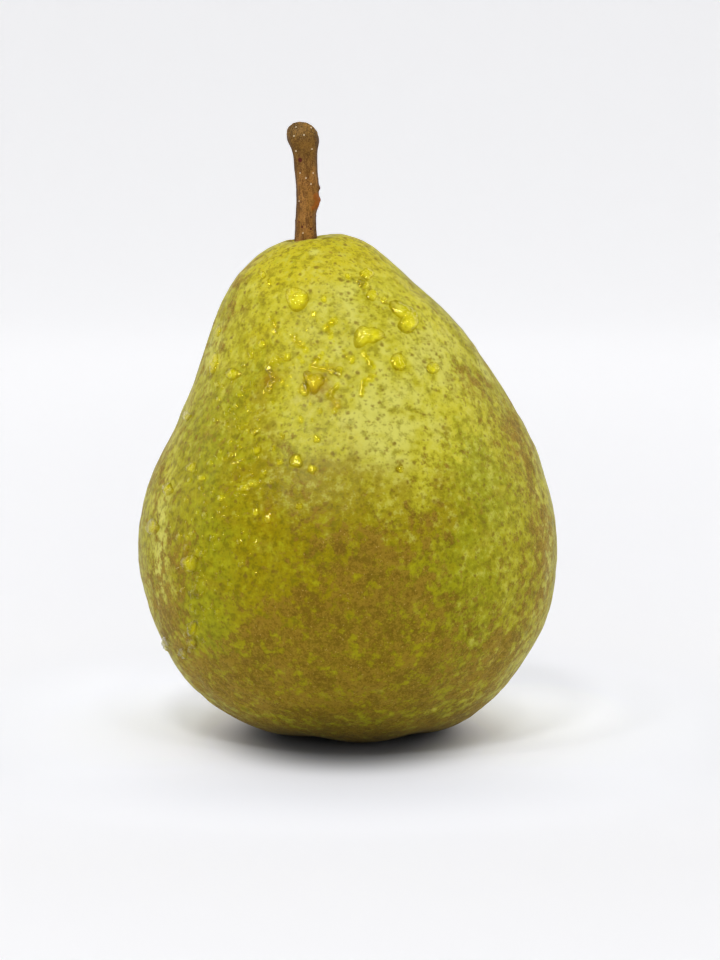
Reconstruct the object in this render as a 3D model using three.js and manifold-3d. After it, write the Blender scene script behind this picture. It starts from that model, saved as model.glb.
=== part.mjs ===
// A whole fresh pear, picked with its stem and standing on its blossom end.
// Millimetres, +Z up. The front of the fruit faces -Y, and the floor is z = 0.
// The fruit is one solid with a shallow basin underneath and a small pit on top. The woody stem stands in
// a plain hole in the pit, and the dried calyx in a plain hole in the roof of the basin.

import * as THREE from 'three';
import { mergeVertices } from 'three/addons/utils/BufferGeometryUtils.js';
import Module from 'manifold-3d';

const wasm = await Module();
wasm.setup();

// Driving dimensions

const FRUIT_SIDES = 64; // facets round the fruit
const RINGS_PER_STATION = 3;
const SOCKET_GAP = 0.3; // clear space between a socket's wall and what stands in it

const STEM_AXIS_X = -8.1; // the neck leans to the left, so the stem stands left of the calyx
const STEM_AXIS_Y = 0.8;
const STEM_SOCKET_RADIUS = 2.4;
const STEM_SOCKET_MOUTH = 92.4;
const STEM_SOCKET_FLOOR = 89.0;
const STEM_SIDES = 20;
const STEM_RINGS_PER_STATION = 3;

const CALYX_SOCKET_RADIUS = 2.6;
const CALYX_SOCKET_MOUTH = 5.0;
const CALYX_SOCKET_ROOF = 7.2;

// A pear has five seed chambers. Its side swells a little over each, most of all under the belly, and its
// underside is drawn up into a furrow between each two.
const LOBES = 5;
const LOBE_PHASE = 0.98; // radians, so that a furrow runs down the left of the front
const LOBE_SWELL = 0.4;
const LOBE_LEVEL = 12; // the height at which the lobes stand out most, and how far up and down they reach
const LOBE_REACH = 11;
const FURROW_LIFT = 1.2;
const FURROW_RADIUS = 14; // how far from the calyx a furrow is deepest, and how far in and out it reaches
const FURROW_REACH = 7;
const UNDERSIDE_TOP = 12; // the furrows end below this height

// The gentle unevenness of a grown fruit: one broad wave that dies out and comes back, and one smaller wave.
const BROAD_WAVE = { height: 0.35, turns: 2, climb: 17, change: 26 };
const SMALL_WAVE = { height: 0.16, turns: 3, climb: 8, start: 1.2 };
const GROWTH_STARTS = 10; // lobes and waves fade in between these two half widths of the fruit
const GROWTH_FULL = 24;

// The fruit

// A round station about the calyx.
function aroundCalyx(z, radius) {
  return { z, left: radius, right: radius, front: radius, back: radius, rise: 0 };
}

// A round station about the stem.
function aroundStem(z, radius, rise) {
  return {
    z,
    left: radius - STEM_AXIS_X,
    right: radius + STEM_AXIS_X,
    front: radius - STEM_AXIS_Y,
    back: radius + STEM_AXIS_Y,
    rise,
  };
}

// Where the surface stands at each station up the fruit, from the mouth of the calyx socket to the lip of the
// stem socket: its height, how far it reaches to the left, right, front and back of the calyx axis, and how
// much its right side stands above its middle.
const STATIONS = [
  aroundCalyx(CALYX_SOCKET_MOUTH, CALYX_SOCKET_RADIUS),
  aroundCalyx(4.3, 4.8),
  { z: 1.8, left: 7.2, right: 8.0, front: 7.4, back: 7.4, rise: 0 },
  { z: -0.4, left: 9.4, right: 11.4, front: 9.8, back: 10.0, rise: 0 },
  { z: -0.2, left: 12.4, right: 15.4, front: 12.8, back: 13.2, rise: 0 },
  { z: 2.2, left: 20.4, right: 22.4, front: 19.6, back: 20.0, rise: 0 },
  { z: 9.0, left: 29.7, right: 29.8, front: 29.0, back: 29.0, rise: 0 },
  { z: 20.0, left: 36.8, right: 36.9, front: 36.4, back: 36.2, rise: 0 },
  { z: 33.5, left: 40.1, right: 39.9, front: 39.3, back: 38.9, rise: 0 },
  { z: 46.0, left: 39.1, right: 38.5, front: 37.8, back: 37.4, rise: 0 },
  { z: 57.6, left: 33.7, right: 34.2, front: 33.0, back: 33.0, rise: 0 },
  { z: 68.6, left: 28.7, right: 27.7, front: 27.6, back: 27.8, rise: 0 },
  { z: 78.6, left: 25.1, right: 20.2, front: 22.4, back: 23.0, rise: 0 },
  { z: 86.6, left: 21.8, right: 11.8, front: 16.4, back: 17.4, rise: 0 },
  { z: 91.7, left: 17.2, right: 6.2, front: 10.6, back: 11.6, rise: 0.15 },
  { z: 94.6, left: 12.3, right: -1.0, front: 4.7, back: 6.1, rise: 0.75 },
  aroundStem(93.8, 3.2, 0.6),
  aroundStem(STEM_SOCKET_MOUTH, STEM_SOCKET_RADIUS, 0),
];

// A smooth curve through three of the measures of each station.
function throughStations(stations, ...measures) {
  const points = stations.map((station) => new THREE.Vector3(...measures.map((name) => station[name])));
  return new THREE.CatmullRomCurve3(points, false, 'centripetal');
}

// A bell-shaped share, 1 in the middle and dying out past the reach.
function share(distance, reach) {
  return Math.exp(-((distance / reach) ** 2));
}

function lobeSwell(angle, z) {
  return LOBE_SWELL * share(z - LOBE_LEVEL, LOBE_REACH) * Math.cos(LOBES * angle + LOBE_PHASE);
}

function furrowLift(angle, halfWidth, z) {
  if (z > UNDERSIDE_TOP) {
    return 0;
  }
  const between = 0.5 - 0.5 * Math.cos(LOBES * angle + LOBE_PHASE);
  return FURROW_LIFT * share(halfWidth - FURROW_RADIUS, FURROW_REACH) * between ** 1.5;
}

function growthSwell(angle, z) {
  const broad = Math.sin(BROAD_WAVE.turns * angle + z / BROAD_WAVE.climb) * Math.cos(z / BROAD_WAVE.change);
  const small = Math.sin(SMALL_WAVE.turns * angle - z / SMALL_WAVE.climb + SMALL_WAVE.start);
  return BROAD_WAVE.height * broad + SMALL_WAVE.height * small;
}

// One closed ring of the fruit's surface. Its underside is pressed flat where it meets the floor.
function fruitRing(across, along) {
  const [left, right, z] = across.toArray();
  const [front, back, rise] = along.toArray();
  const halfWidth = (left + right) / 2;
  const halfDepth = (front + back) / 2;
  const fade = THREE.MathUtils.smoothstep(halfWidth, GROWTH_STARTS, GROWTH_FULL);
  const ring = [];
  for (let i = 0; i < FRUIT_SIDES; i++) {
    const angle = (2 * Math.PI * i) / FRUIT_SIDES;
    const grown = 1 + (fade * (lobeSwell(angle, z) + growthSwell(angle, z))) / halfWidth;
    ring.push(new THREE.Vector3(
      (right - left) / 2 + halfWidth * grown * Math.cos(angle),
      (back - front) / 2 + halfDepth * grown * Math.sin(angle),
      Math.max(0, z + rise * Math.cos(angle) + furrowLift(angle, halfWidth, z)),
    ));
  }
  return ring;
}

// A closed solid skinned over rings of equal count, with a point at each end.
function skinned(start, rings, end) {
  const sides = rings[0].length;
  const corners = [start, ...rings.flat(), end];
  const faces = [];
  const at = (ring, side) => 1 + ring * sides + (side % sides);
  for (let i = 0; i < sides; i++) {
    faces.push(0, at(0, i + 1), at(0, i));
    for (let r = 0; r < rings.length - 1; r++) {
      faces.push(at(r, i), at(r, i + 1), at(r + 1, i + 1));
      faces.push(at(r, i), at(r + 1, i + 1), at(r + 1, i));
    }
    faces.push(at(rings.length - 1, i), at(rings.length - 1, i + 1), corners.length - 1);
  }
  const geometry = new THREE.BufferGeometry().setFromPoints(corners);
  geometry.setIndex(faces);
  geometry.computeVertexNormals();
  return geometry;
}

function fruitGeometry() {
  const across = throughStations(STATIONS, 'left', 'right', 'z');
  const along = throughStations(STATIONS, 'front', 'back', 'rise');
  const steps = (STATIONS.length - 1) * RINGS_PER_STATION;
  const rings = [];
  for (let i = 0; i <= steps; i++) {
    rings.push(fruitRing(across.getPoint(i / steps), along.getPoint(i / steps)));
  }
  const calyxSocket = rings[0].map((corner) => corner.clone().setZ(CALYX_SOCKET_ROOF));
  const stemSocket = rings[steps].map((corner) => corner.clone().setZ(STEM_SOCKET_FLOOR));
  return skinned(
    new THREE.Vector3(0, 0, CALYX_SOCKET_ROOF),
    [calyxSocket, ...rings, stemSocket],
    new THREE.Vector3(STEM_AXIS_X, STEM_AXIS_Y, STEM_SOCKET_FLOOR),
  );
}

// The stem

// The stem's height, radius and lean to the right of its own axis, from its foot in the socket to the corky
// scar on its knob.
const STEM_STATIONS = [
  { z: STEM_SOCKET_FLOOR + SOCKET_GAP, radius: 2.0, lean: 0 },
  { z: 92.6, radius: 2.05, lean: 0 },
  { z: 96.4, radius: 2.05, lean: 0 },
  { z: 99.6, radius: 1.95, lean: 0.05 },
  { z: 104.1, radius: 2.05, lean: 0.2 },
  { z: 108.1, radius: 2.2, lean: 0 },
  { z: 111.1, radius: 2.45, lean: -0.2 },
  { z: 113.4, radius: 3.05, lean: -0.5 },
  { z: 115.4, radius: 2.5, lean: -0.8 },
  { z: 116.3, radius: 1.3, lean: -0.95 },
];
const SCAR_CROWN = 0.25; // the scar on the knob is slightly domed

// The stem's cross section is not quite round: a share of its radius, and how often that goes round.
const STEM_RIBS = [
  { share: 0.03, turns: 3, climb: 4 },
  { share: 0.02, turns: 5, climb: 40 },
];

// Small knots in the bark: their height, compass angle in radians, and how far they stand out and spread.
const KNOTS = [
  { z: 104.9, angle: 0.0, height: 0.45, spread: 0.7 },
  { z: 101.7, angle: -0.1, height: 0.65, spread: 1.3 },
  { z: 107.4, angle: 2.9, height: 0.25, spread: 0.8 },
  { z: 111.6, angle: 1.7, height: 0.3, spread: 1.0 },
];

function knotSwell(angle, z, radius) {
  let swell = 0;
  for (const knot of KNOTS) {
    const turn = Math.abs(((angle - knot.angle + 3 * Math.PI) % (2 * Math.PI)) - Math.PI);
    swell += knot.height * share(Math.hypot(radius * turn, z - knot.z), knot.spread);
  }
  return swell;
}

function stemGeometry() {
  const line = throughStations(STEM_STATIONS, 'lean', 'radius', 'z');
  const steps = (STEM_STATIONS.length - 1) * STEM_RINGS_PER_STATION;
  const rings = [];
  for (let i = 0; i <= steps; i++) {
    const [lean, radius, z] = line.getPoint(i / steps).toArray();
    const ring = [];
    for (let side = 0; side < STEM_SIDES; side++) {
      const angle = (2 * Math.PI * side) / STEM_SIDES;
      const ribs = STEM_RIBS.map((rib) => rib.share * Math.sin(rib.turns * angle + z / rib.climb));
      const reach = radius * (1 + ribs[0] + ribs[1]) + knotSwell(angle, z, radius);
      ring.push(new THREE.Vector3(
        STEM_AXIS_X + lean + reach * Math.cos(angle),
        STEM_AXIS_Y + reach * Math.sin(angle),
        z,
      ));
    }
    rings.push(ring);
  }
  const foot = new THREE.Vector3(STEM_AXIS_X, STEM_AXIS_Y, STEM_STATIONS[0].z);
  const last = STEM_STATIONS.at(-1);
  const scar = new THREE.Vector3(STEM_AXIS_X + last.lean, STEM_AXIS_Y, last.z + SCAR_CROWN);
  return skinned(foot, rings, scar);
}

// The calyx

const CALYX_TUBE_RADIUS = CALYX_SOCKET_RADIUS - SOCKET_GAP;
const CALYX_TUBE_TOP = CALYX_SOCKET_ROOF - SOCKET_GAP;
const CALYX_TUBE_MOUTH = 4.1;
const CALYX_TUBE_SIDES = 20;
const CALYX_LIP_BEVEL = 0.2;
const CALYX_CUP_FLOOR = 5.4; // the hollow of the withered flower, in the tube's lower end
const CALYX_CUP_RADIUS = 1.3;
const CALYX_CUP_FLOOR_RADIUS = 1.04;

const SEPALS = 5;
const SEPAL_TURN = 0.3; // radians from straight right to the first sepal
const SEPAL_LENGTH = 4.6;
const SEPAL_WIDTH = 2.9;
const SEPAL_THICKNESS = 0.7;
const SEPAL_ROOT = 1.5; // a sepal's root is sunk this far from the calyx's axis, inside the tube's wall
const SEPAL_ROOT_LEVEL = CALYX_TUBE_MOUTH + 0.5;
const SEPAL_TIP_WIDTH = 0.12; // of its full width
const SEPAL_DROOP = 2.3; // how far the tip curls down
const SEPAL_KEEL = 0.35; // how far the edges hang below the midrib

function toSolid(geometry) {
  const bare = geometry.clone();
  bare.deleteAttribute('normal');
  bare.deleteAttribute('uv');
  const merged = mergeVertices(bare, 1e-4);
  return new wasm.Manifold(new wasm.Mesh({
    numProp: 3,
    vertProperties: merged.attributes.position.array,
    triVerts: new Uint32Array(merged.index.array),
  }));
}

function toGeometry(solid) {
  const mesh = solid.getMesh();
  const geometry = new THREE.BufferGeometry();
  geometry.setAttribute('position', new THREE.BufferAttribute(mesh.vertProperties, mesh.numProp));
  geometry.setIndex(new THREE.BufferAttribute(mesh.triVerts, 1));
  geometry.computeVertexNormals();
  return geometry;
}

// The short tube that the sepals grow from.
function calyxTube() {
  const profile = [
    new THREE.Vector2(0, CALYX_CUP_FLOOR),
    new THREE.Vector2(CALYX_CUP_FLOOR_RADIUS, CALYX_CUP_FLOOR),
    new THREE.Vector2(CALYX_CUP_RADIUS, CALYX_TUBE_MOUTH),
    new THREE.Vector2(CALYX_TUBE_RADIUS, CALYX_TUBE_MOUTH + CALYX_LIP_BEVEL),
    new THREE.Vector2(CALYX_TUBE_RADIUS, CALYX_TUBE_TOP),
    new THREE.Vector2(0, CALYX_TUBE_TOP),
  ];
  return new THREE.LatheGeometry(profile, CALYX_TUBE_SIDES).rotateX(Math.PI / 2);
}

// A pointed, dried sepal that spreads from the tube towards the basin's wall and curls down at its tip.
function sepal(turn) {
  const blade = new THREE.BoxGeometry(1, 1, 1, 9, 4, 1);
  const position = blade.attributes.position;
  for (let i = 0; i < position.count; i++) {
    const along = position.getX(i) + 0.5;
    const across = position.getY(i) * 2;
    const taper = THREE.MathUtils.lerp(1, SEPAL_TIP_WIDTH, along ** 1.7);
    const belly = 0.8 + 0.6 * along * (1 - along);
    const droop = SEPAL_DROOP * along ** 2.2;
    const keel = SEPAL_KEEL * across ** 2 * (1 - along);
    position.setXYZ(
      i,
      SEPAL_ROOT + SEPAL_LENGTH * along,
      (across * taper * belly * SEPAL_WIDTH) / 2,
      SEPAL_ROOT_LEVEL - droop - keel + position.getZ(i) * SEPAL_THICKNESS,
    );
  }
  return blade.rotateZ(turn);
}

function calyxGeometry() {
  let calyx = toSolid(calyxTube());
  for (let i = 0; i < SEPALS; i++) {
    calyx = calyx.add(toSolid(sepal(SEPAL_TURN + (2 * Math.PI * i) / SEPALS)));
  }
  return toGeometry(calyx);
}

// Materials

const skin = new THREE.MeshStandardMaterial({ name: 'skin', color: 0xa89d35, roughness: 0.45, metalness: 0 });
const bark = new THREE.MeshStandardMaterial({ name: 'bark', color: 0x86602f, roughness: 0.75, metalness: 0 });
const husk = new THREE.MeshStandardMaterial({ name: 'husk', color: 0x3b2a1b, roughness: 0.9, metalness: 0 });

// The pear, put together

function named(name, geometry, material) {
  const mesh = new THREE.Mesh(geometry, material);
  mesh.name = name;
  return mesh;
}

const pear = new THREE.Group();
pear.add(
  named('fruit', fruitGeometry(), skin),
  named('stem', stemGeometry(), bark),
  named('calyx', calyxGeometry(), husk),
);

// The origin is on the floor, under the middle of the whole pear.
const middle = new THREE.Box3().setFromObject(pear).getCenter(new THREE.Vector3());
pear.position.set(-middle.x, -middle.y, 0);

export default pear;
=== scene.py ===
import math
import random

import bpy
import numpy as np
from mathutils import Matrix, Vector, noise
from mathutils.bvhtree import BVHTree


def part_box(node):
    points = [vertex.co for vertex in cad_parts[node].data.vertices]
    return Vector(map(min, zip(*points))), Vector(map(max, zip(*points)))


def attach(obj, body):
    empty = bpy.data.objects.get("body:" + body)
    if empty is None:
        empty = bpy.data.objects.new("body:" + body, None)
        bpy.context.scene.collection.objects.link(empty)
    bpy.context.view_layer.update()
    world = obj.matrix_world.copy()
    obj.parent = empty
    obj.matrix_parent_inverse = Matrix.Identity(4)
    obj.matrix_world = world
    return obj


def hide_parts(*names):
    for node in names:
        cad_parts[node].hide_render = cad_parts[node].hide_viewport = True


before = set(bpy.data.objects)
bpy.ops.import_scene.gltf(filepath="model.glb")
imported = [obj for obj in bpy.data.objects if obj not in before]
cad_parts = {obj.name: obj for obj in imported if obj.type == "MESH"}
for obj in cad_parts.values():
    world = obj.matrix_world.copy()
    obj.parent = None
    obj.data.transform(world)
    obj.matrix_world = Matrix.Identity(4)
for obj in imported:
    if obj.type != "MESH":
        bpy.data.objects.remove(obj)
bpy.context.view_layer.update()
bpy.ops.object.select_all(action="DESELECT")

# The camera
# It stands where the photograph was taken: straight in front of the fruit and a little above it, with a
# long lens. Places on the fruit's front are given in the photograph's pixels.

PHOTO_WIDTH = 720
PHOTO_HEIGHT = 960
EYE = Vector((0.0023, -0.620, 0.1304))
AIM = Vector((0.0023, 0.0, 0.0484))
LENS = 122.6  # millimetres, with a sensor 36 mm long
SENSOR = 36.0
MM = 0.001  # a millimetre, in metres

bpy.ops.object.camera_add(location=EYE, rotation=(AIM - EYE).to_track_quat("-Z", "Y").to_euler())
camera = bpy.context.object
camera.data.lens = LENS
camera.data.sensor_width = SENSOR
camera.data.clip_start = 0.01
bpy.context.scene.camera = camera
bpy.context.view_layer.update()


def sight_line(x, y):
    """The direction from the camera through a pixel of the photograph."""
    focal = LENS / SENSOR * PHOTO_HEIGHT
    across = Vector((x - PHOTO_WIDTH / 2, PHOTO_HEIGHT / 2 - y, -focal))
    return (camera.matrix_world.to_3x3() @ across).normalized()


# The ground and the light
# A wide white table that sweeps up into its own backdrop on every side, in a white room. A large soft panel
# hangs above, four small bright ones in front and above, and two soft ones stand at the sides.

SWEEP_START = 0.9  # metres from the fruit to where the table begins to rise
SWEEP_RISE = 0.55
TABLE_SIZE = 5.0
TABLE_CUTS = 160
WHITE_STEPS = (30 * MM, 120 * MM)  # from the cooler white near the fruit to the plainer one round it
WORLD_STRENGTH = 0.11
# The shades and glows on the table: the middle of each, its stretch, and the two distances from its middle
# between which it changes. A stretch over 1 makes it narrower that way, and one under 1 makes it longer.
FOOT_MIDDLE = (0.0, -8 * MM, 0.0)  # the dark shadow under the fruit
FOOT_STRETCH = (1.3, 1.0, 0.0)
FOOT_STEPS = (14 * MM, 37 * MM)
FOOT_LEAST = 0.17  # the share of the white that is left in its middle
FRONT_MIDDLE = (0.0, -50 * MM, 0.0)  # a wider, fainter shade in front of the fruit
FRONT_STRETCH = (0.6, 1.0, 0.0)
FRONT_STEPS = (36 * MM, 0.0)
FRONT_SHADE = 0.20
AHEAD_STEPS = (-50 * MM, -110 * MM)  # and a very faint one further on towards the camera
AHEAD_SHADE = 0.06
NEAR_START = (22 * MM, 45 * MM)  # a little light round the fruit, so that its own shadow there stays faint
NEAR_STEPS = (95 * MM, 20 * MM)
NEAR_GLOW = 0.20
RIGHT_MIDDLE = (39 * MM, 16 * MM, 0.0)  # and some more on its right, where two lights' shadows meet
RIGHT_STRETCH = (1.4, 0.75, 0.0)
RIGHT_STEPS = (27 * MM, 3 * MM)
RIGHT_GLOW = 0.13
BACKDROP_STEPS = (0.03, 0.9)  # and the backdrop's own light, from the fruit outwards, in metres
BACKDROP_GLOW = 0.45


class Shade:
    """One value in a material's nodes, on which sums are written as in Python."""

    def __init__(self, tree, socket=None):
        self.tree = tree
        self.socket = socket

    def node(self, kind, settings, inputs, output=0):
        """Any node: its type, its settings, and the values or links of its sockets."""
        made = self.tree.nodes.new("ShaderNode" + kind)
        for name, value in settings.items():
            setattr(made, name, value)
        for name, value in inputs.items():
            if isinstance(value, Shade):
                self.tree.links.new(value.socket, made.inputs[name])
            else:
                made.inputs[name].default_value = value
        return Shade(self.tree, made.outputs[output] if made.outputs else None)

    def sum(self, operation, *values):
        return self.node("Math", {"operation": operation}, dict(enumerate(values)))

    def __add__(self, other):
        return self.sum("ADD", self, other)

    def __sub__(self, other):
        return self.sum("SUBTRACT", self, other)

    def __rsub__(self, other):
        return self.sum("SUBTRACT", other, self)

    def __mul__(self, other):
        return self.sum("MULTIPLY", self, other)

    __radd__ = __add__
    __rmul__ = __mul__

    def least(self, other):
        return self.sum("MINIMUM", self, other)

    def most(self, other):
        return self.sum("MAXIMUM", self, other)

    def step(self, low, high):
        """0 below low, 1 above high, and smooth between. With high under low it falls instead."""
        sockets = {"Value": self, "From Min": low, "From Max": high}
        return self.node("MapRange", {"interpolation_type": "SMOOTHSTEP"}, sockets)

    def mix(self, first, second):
        """The first colour where this value is 0, and the second where it is 1."""
        return self.node("Mix", {"data_type": "RGBA"}, {0: self, 6: first, 7: second}, 2)


def new_material(name):
    material = bpy.data.materials.new(name)
    material.use_nodes = True
    material.node_tree.nodes.clear()
    return material, Shade(material.node_tree)


def finish_material(nodes, sockets):
    """A Principled shader with these sockets, on the material's output."""
    surface = nodes.node("BsdfPrincipled", {}, sockets)
    nodes.node("OutputMaterial", {}, {"Surface": surface})


def paint(red, green, blue):
    """A colour given as it looks on a screen, 0 to 255, as the shader's linear colour."""
    linear = [((c / 255 + 0.055) / 1.055) ** 2.4 if c > 10 else c / 255 / 12.92 for c in (red, green, blue)]
    return (*linear, 1.0)


def stretched_distance(nodes, place, middle, stretch):
    """How far each place is from a spot's middle, stretched so that the spot is an oval."""
    away = nodes.node("VectorMath", {"operation": "SUBTRACT"}, {0: place, 1: middle})
    shaped = nodes.node("VectorMath", {"operation": "MULTIPLY"}, {0: away, 1: stretch})
    return nodes.node("VectorMath", {"operation": "LENGTH"}, {0: shaped}, "Value")


BLACK = paint(0, 0, 0)
NEAR_WHITE = paint(236, 238, 245)
FAR_WHITE = paint(241, 241, 243)
GLOW_WHITE = paint(254, 254, 255)


def table_material():
    """White, darker in the fruit's own shadow, with a glow that keeps it white beside it and far away."""
    material, nodes = new_material("white_table")
    place = nodes.node("TexCoord", {}, {}, "Object")
    distance = nodes.node("VectorMath", {"operation": "LENGTH"}, {0: place}, "Value")
    foot_distance = stretched_distance(nodes, place, FOOT_MIDDLE, FOOT_STRETCH)
    front_distance = stretched_distance(nodes, place, FRONT_MIDDLE, FRONT_STRETCH)
    ahead = nodes.node("SeparateXYZ", {}, {0: place}, "Y").step(*AHEAD_STEPS)
    front = 1 - front_distance.step(*FRONT_STEPS) * FRONT_SHADE - ahead * AHEAD_SHADE
    lit = foot_distance.step(*FOOT_STEPS) * (1 - FOOT_LEAST) + FOOT_LEAST
    white = distance.step(*WHITE_STEPS).mix(NEAR_WHITE, FAR_WHITE)
    colour = (lit * front).mix(BLACK, white)
    near_glow = foot_distance.step(*NEAR_START) * distance.step(*NEAR_STEPS) * front * NEAR_GLOW
    right_distance = stretched_distance(nodes, place, RIGHT_MIDDLE, RIGHT_STRETCH)
    right_glow = right_distance.step(*RIGHT_STEPS) * RIGHT_GLOW
    glow = near_glow + right_glow + distance.step(*BACKDROP_STEPS) * BACKDROP_GLOW
    glow_colour = glow.mix(BLACK, GLOW_WHITE)
    sockets = {"Base Color": colour, "Roughness": 0.9, "Specular IOR Level": 0.2}
    finish_material(nodes, {**sockets, "Emission Color": glow_colour, "Emission Strength": 1.0})
    material.cycles.emission_sampling = "NONE"  # such a wide, weak glow is found without being aimed at
    return material


bpy.ops.mesh.primitive_grid_add(x_subdivisions=TABLE_CUTS, y_subdivisions=TABLE_CUTS, size=TABLE_SIZE)
table = bpy.context.object
table.name = "table"
for vertex in table.data.vertices:
    beyond = max(0.0, vertex.co.xy.length - SWEEP_START)
    vertex.co.z = SWEEP_RISE * beyond**2
bpy.ops.object.shade_smooth()
table.data.materials.append(table_material())

PANEL_AIM = Vector((0.0, 0.0, 0.05))


def panel_light(name, place, size, power):
    """A soft square panel light that faces the fruit, its size in metres and its power in watts."""
    toward = (PANEL_AIM - Vector(place)).to_track_quat("-Z", "Y").to_euler()
    bpy.ops.object.light_add(type="AREA", location=place, rotation=toward)
    lamp = bpy.context.object
    lamp.name = name
    lamp.data.size = size
    lamp.data.energy = power
    lamp.visible_camera = False
    return lamp


panel_light("top_panel", (0.0, 0.05, 0.90), 0.8, 3.2)
panel_light("front_panel", (-0.12, -0.50, 0.72), 0.12, 1.5)
panel_light("second_front_panel", (0.16, -0.45, 0.78), 0.08, 0.45)
panel_light("third_front_panel", (-0.34, -0.34, 0.76), 0.08, 0.45)
glint_panel = panel_light("glint_panel", (-0.22, -0.50, 0.58), 0.32, 8.5)
glint_panel.visible_diffuse = False  # it only shows as the bright glints in the water
panel_light("left_panel", (-0.63, 0.12, 0.35), 0.5, 1.25)
panel_light("right_panel", (0.63, 0.12, 0.35), 0.5, 1.25)

world = bpy.data.worlds.new("white_room")
world.use_nodes = True
background = world.node_tree.nodes["Background"]
background.inputs["Color"].default_value = paint(252, 252, 254)
background.inputs["Strength"].default_value = WORLD_STRENGTH
bpy.context.scene.world = world
bpy.context.scene.view_settings.view_transform = "Standard"

# The fruit's skin
# A thin, waxy pear skin over firm flesh, all one piece: yellow-green, mottled with corky brown russet, and
# dotted all over with breathing pores. It draws in round the foot of the stem and round the calyx.

STEM_FOOT = sum(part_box("stem"), Vector()) / 2
CALYX_MIDDLE = sum(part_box("calyx"), Vector()) / 2
PIT_RADIUS = 2.6 * MM  # the stem's socket is narrower than this, and the skin outside it wider
PIT_SQUEEZE = 0.74
PIT_HEIGHTS = (0.088, 0.0926)  # the heights that hold its wall and lip, in metres
CUP_RADIUS = 2.75 * MM  # and the same for the calyx's socket
CUP_SQUEEZE = 0.8
CUP_HEIGHTS = (0.0049, 0.0073)
UNDULATION = 0.30 * MM  # the gentle unevenness of the surface, and how long its waves are
UNDULATION_SIZE = 11 * MM
DIMPLES = 0.10 * MM
DIMPLE_SIZE = 2.6 * MM
SETTLED = (0.3 * MM, 5 * MM)  # below these heights the surface is held still, so that the fruit stands flat


def copy_of_node(node, name):
    """A new object with a merged copy of a CAD node's mesh, in quads where it can be."""
    piece = bpy.data.objects.new(name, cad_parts[node].data.copy())
    piece.data.materials.clear()
    bpy.context.scene.collection.objects.link(piece)
    bpy.ops.object.select_all(action="DESELECT")
    bpy.context.view_layer.objects.active = piece
    piece.select_set(True)
    bpy.ops.object.mode_set(mode="EDIT")
    bpy.ops.mesh.select_all(action="SELECT")
    bpy.ops.mesh.remove_doubles(threshold=0.001 * MM)
    bpy.ops.mesh.tris_convert_to_quads(face_threshold=math.radians(60), shape_threshold=math.radians(60))
    bpy.ops.object.mode_set(mode="OBJECT")
    return piece


def apply_modifier(piece, kind, **settings):
    modifier = piece.modifiers.new(kind, kind)
    for name, value in settings.items():
        setattr(modifier, name, value)
    bpy.context.view_layer.objects.active = piece
    bpy.ops.object.modifier_apply(modifier=modifier.name)


def corners(piece):
    """The places of a piece's vertices, as rows of x, y, z."""
    places = np.empty(len(piece.data.vertices) * 3, np.float32)
    piece.data.vertices.foreach_get("co", places)
    return places.reshape(-1, 3).astype(float)


def normals(piece):
    """The way that a piece faces at each vertex."""
    ways = np.empty(len(piece.data.vertices) * 3, np.float32)
    piece.data.vertices.foreach_get("normal", ways)
    return ways.reshape(-1, 3).astype(float)


def set_corners(piece, places):
    piece.data.vertices.foreach_set("co", places.astype(np.float32).ravel())
    piece.data.update()


def smooth(values, low, high):
    """0 at low, 1 at high, and smooth between."""
    share = np.clip((values - low) / (high - low), 0, 1)
    return share * share * (3 - 2 * share)


def wander(places, size, seed):
    """Smooth seeded noise at each place, about -1 to 1: waves of this size, with two finer layers."""
    shift = Vector((seed * 3.7, seed * 1.9, seed * 5.3))
    waves = [noise.fractal(Vector(place) / size + shift, 1.0, 2.0, 3) for place in places]
    return np.array(waves)


def squeeze(piece, middle, radius, share, heights):
    """Draws a socket's wall and lip in towards its own middle line."""
    low, high = heights
    places = corners(piece)
    away = places[:, :2] - np.array(middle[:2])
    inside = (np.hypot(*away.T) < radius) & (places[:, 2] > low) & (places[:, 2] < high)
    places[inside, :2] = np.array(middle[:2]) + away[inside] * share
    set_corners(piece, places)


skin = copy_of_node("fruit", "fruit_skin")
squeeze(skin, STEM_FOOT, PIT_RADIUS, PIT_SQUEEZE, PIT_HEIGHTS)
squeeze(skin, CALYX_MIDDLE, CUP_RADIUS, CUP_SQUEEZE, CUP_HEIGHTS)
apply_modifier(skin, "SUBSURF", levels=2, render_levels=2)

spots = corners(skin)
held = smooth(spots[:, 2], *SETTLED)
relief = UNDULATION * wander(spots, UNDULATION_SIZE, 1) + DIMPLES * wander(spots, DIMPLE_SIZE, 2)
set_corners(skin, spots + normals(skin) * (held * relief)[:, None])
bpy.ops.object.shade_smooth()

skin_surface = BVHTree.FromObject(skin, bpy.context.evaluated_depsgraph_get())


def spot_on_skin(x, y, near=None):
    """Where the line of sight through a pixel meets the skin, and the way the skin faces there. Past the
    fruit's edge it is the nearest skin to the line, at the distance of the place given."""
    way = sight_line(x, y)
    place, facing, _, _ = skin_surface.ray_cast(EYE, way)
    if place is None:
        reach = (near - EYE).dot(way) if near else (AIM - EYE).length
        place, facing, _, _ = skin_surface.find_nearest(EYE + way * reach)
    return place, facing


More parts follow.
